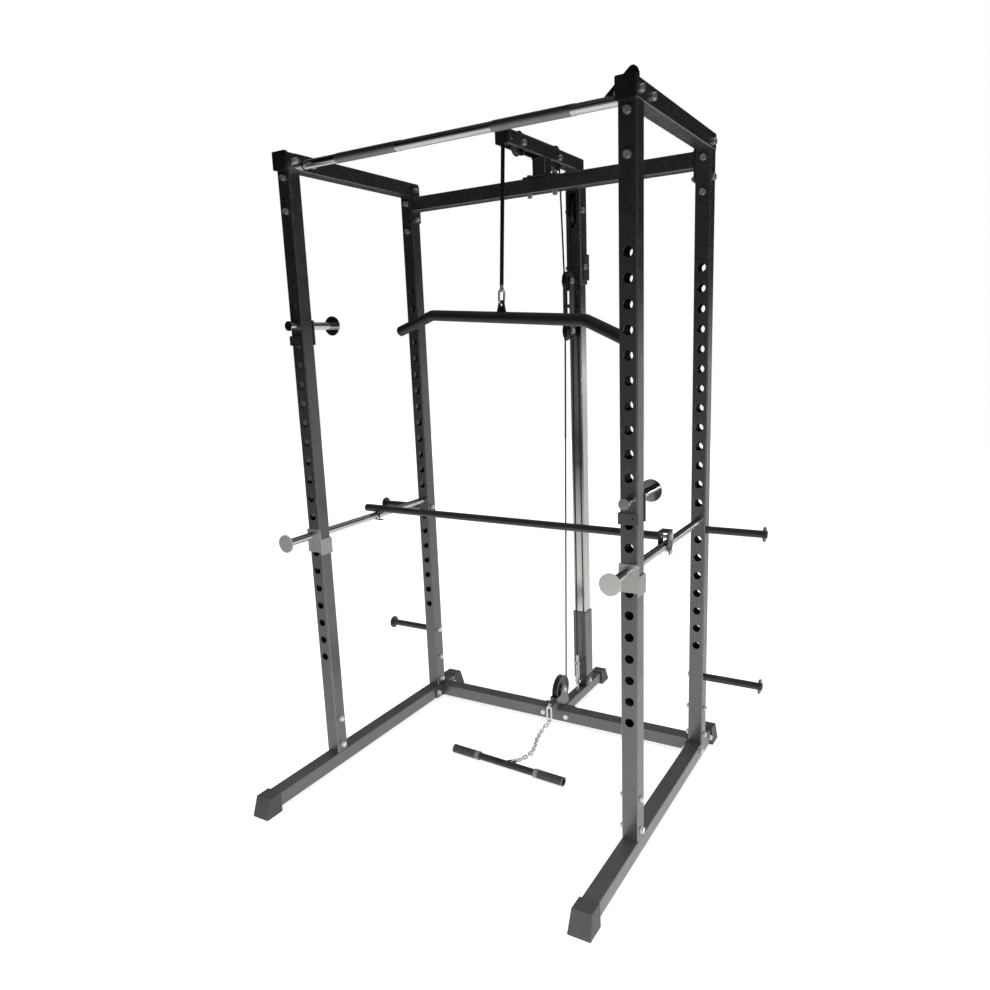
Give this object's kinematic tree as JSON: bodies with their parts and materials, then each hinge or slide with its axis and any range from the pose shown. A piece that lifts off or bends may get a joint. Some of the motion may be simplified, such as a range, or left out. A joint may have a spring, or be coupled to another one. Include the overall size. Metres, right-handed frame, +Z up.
{
  "type": "power cage",
  "caption": "Four-post power cage with pull-up bar, bar catches, safety bars, storage pegs and a plate-loaded lat and low-row cable tower.",
  "frame": {"origin": "on the floor, at the centre of the cage's own box", "axes": "+X to the right, +Y to the back where the cable tower stands, +Z up"},
  "size_m": [1.58, 1.519, 2.167],
  "materials": {
    "frame_paint": "semi-gloss black powder coat",
    "inner_steel": "plain steel",
    "chrome": "polished",
    "zinc": "zinc plated",
    "shoe_plastic": "moulded",
    "pulley_plastic": "moulded nylon",
    "cable_coat": "coated wire rope",
    "grip_rubber": "ribbed rubber"
  },
  "bodies": {
    "frame": {"base_beam_left": "frame_paint", "base_beam_right": "frame_paint", "top_beam_left": "frame_paint", "top_beam_right": "frame_paint", "upright_front_left": "frame_paint", "upright_front_right": "frame_paint", "upright_rear_left": "frame_paint", "upright_rear_right": "frame_paint", "spigots": "inner_steel", "pull_up_bar": "chrome", "rear_cross_upper": "frame_paint", "rear_cross_lower": "frame_paint", "feet_front": "shoe_plastic", "feet_rear": "shoe_plastic", "foot_tower": "shoe_plastic", "beam_end_caps": "shoe_plastic", "storage_pegs": "frame_paint", "lat_arm": "frame_paint", "tower_post": "frame_paint", "guide_clamp": "frame_paint", "guide_tube": "chrome", "tower_base": "frame_paint", "tower_bumper": "grip_rubber", "frame_bolts": "zinc", "frame_nuts": "zinc", "frame_washers": "zinc", "low_pulley_bracket": "frame_paint", "cable_anchor": "zinc", "pulley_axles": "zinc", "high_cable": "cable_coat", "low_cable": "cable_coat"},
    "lat_handle": {"lat_cable_sleeve": "cable_coat", "lat_snap_hook": "zinc", "lat_bar": "frame_paint"},
    "carriage": {"weight_carriage": "frame_paint"},
    "nose_roller": {"pulley_nose": "pulley_plastic"},
    "arm_front_wheel": {"pulley_arm_front": "pulley_plastic"},
    "arm_rear_wheel": {"pulley_arm_rear": "pulley_plastic"},
    "tower_top_wheel": {"pulley_tower_top": "pulley_plastic"},
    "low_wheel": {"pulley_low": "pulley_plastic"},
    "block": {"block_straps": "frame_paint", "block_axles": "zinc"},
    "block_top_wheel": {"pulley_block_top": "pulley_plastic"},
    "block_low_wheel": {"pulley_block_low": "pulley_plastic"},
    "low_handle": {"low_cable_stopper": "grip_rubber", "low_snap_hook": "zinc", "pull_chain": "zinc", "low_bar": "frame_paint", "low_bar_grips": "grip_rubber"},
    "safety_left": {"safety_bar_left": "chrome", "safety_bracket_left": "zinc"},
    "safety_right": {"safety_bar_right": "chrome", "safety_bracket_right": "zinc"},
    "catch_left": {"catch_rod_left": "chrome", "catch_bracket_left": "frame_paint"},
    "catch_right": {"catch_rod_right": "chrome", "catch_bracket_right": "frame_paint"},
    "hold_down": {"hold_down_bar": "frame_paint", "hold_down_fittings": "frame_paint", "hold_down_pins": "zinc"}
  },
  "joints": [
    {"name": "lat_pull", "type": "slide", "parent": "frame", "child": "lat_handle", "axis": [0, 0, -1], "range_m": [0, 0.5], "deforming": ["high_cable"]},
    {"name": "carriage_lift", "type": "slide", "parent": "frame", "child": "carriage", "axis": [0, 0, 1], "range_m": [0, 0.5]},
    {"name": "nose_turn", "type": "hinge", "parent": "frame", "child": "nose_roller", "pos_m": [0, 0.0205, 2.123], "axis": [1, 0, 0], "range_deg": [0, 1700]},
    {"name": "arm_front_turn", "type": "hinge", "parent": "frame", "child": "arm_front_wheel", "pos_m": [0, 0.1035, 2.1265], "axis": [1, 0, 0], "range_deg": [0, 830]},
    {"name": "arm_rear_turn", "type": "hinge", "parent": "frame", "child": "arm_rear_wheel", "pos_m": [0, 0.3745, 2.125], "axis": [1, 0, 0], "range_deg": [0, 750]},
    {"name": "tower_top_turn", "type": "hinge", "parent": "frame", "child": "tower_top_wheel", "pos_m": [0, 0.5485, 1.968], "axis": [1, 0, 0], "range_deg": [0, 560]},
    {"name": "low_row", "type": "slide", "parent": "frame", "child": "low_handle", "axis": [0, -1, 0], "range_m": [0, 0.6], "deforming": ["low_cable"]},
    {"name": "block_drop", "type": "slide", "parent": "frame", "child": "block", "axis": [0, 0, -1], "range_m": [0, 0.3]},
    {"name": "low_turn", "type": "hinge", "parent": "frame", "child": "low_wheel", "pos_m": [0, 0.3285, 0.122], "axis": [1, 0, 0], "range_deg": [-670, 0]},
    {"name": "block_top_turn", "type": "hinge", "parent": "block", "child": "block_top_wheel", "pos_m": [0, 0.4725, 1.71], "axis": [1, 0, 0], "range_deg": [-880, 0]},
    {"name": "block_low_turn", "type": "hinge", "parent": "block", "child": "block_low_wheel", "pos_m": [0, 0.4705, 1.527], "axis": [1, 0, 0], "range_deg": [0, 540]},
    {"name": "safety_slide_left", "type": "slide", "parent": "frame", "child": "safety_left", "axis": [0, -1, 0], "range_m": [0, 0.4]},
    {"name": "safety_slide_right", "type": "slide", "parent": "frame", "child": "safety_right", "axis": [0, -1, 0], "range_m": [0, 0.4]},
    {"name": "hold_down_slide", "type": "slide", "parent": "frame", "child": "hold_down", "axis": [0, 1, 0], "range_m": [-0.18, 0.26]},
    {"name": "catch_turn_left", "type": "hinge", "parent": "frame", "child": "catch_left", "pos_m": [-0.568, -0.3965, 1.573], "axis": [0, 1, 0], "range_deg": [0, 90]},
    {"name": "catch_turn_right", "type": "hinge", "parent": "frame", "child": "catch_right", "pos_m": [0.568, -0.3965, 1.065], "axis": [0, 1, 0], "range_deg": [0, 90]}
  ],
  "couplings": [
    {"joint": "carriage_lift", "follows": "lat_pull", "ratio": 1},
    {"joint": "nose_turn", "follows": "lat_pull", "rad_per_m": 58.824},
    {"joint": "arm_front_turn", "follows": "lat_pull", "rad_per_m": 28.571},
    {"joint": "arm_rear_turn", "follows": "lat_pull", "rad_per_m": 25.641},
    {"joint": "tower_top_turn", "follows": "lat_pull", "rad_per_m": 19.231},
    {"joint": "block_top_turn", "follows": "lat_pull", "rad_per_m": -30.303},
    {"joint": "block_drop", "follows": "low_row", "ratio": 0.5},
    {"joint": "low_turn", "follows": "low_row", "rad_per_m": -19.231},
    {"joint": "block_low_turn", "follows": "low_row", "rad_per_m": 15.152}
  ]
}
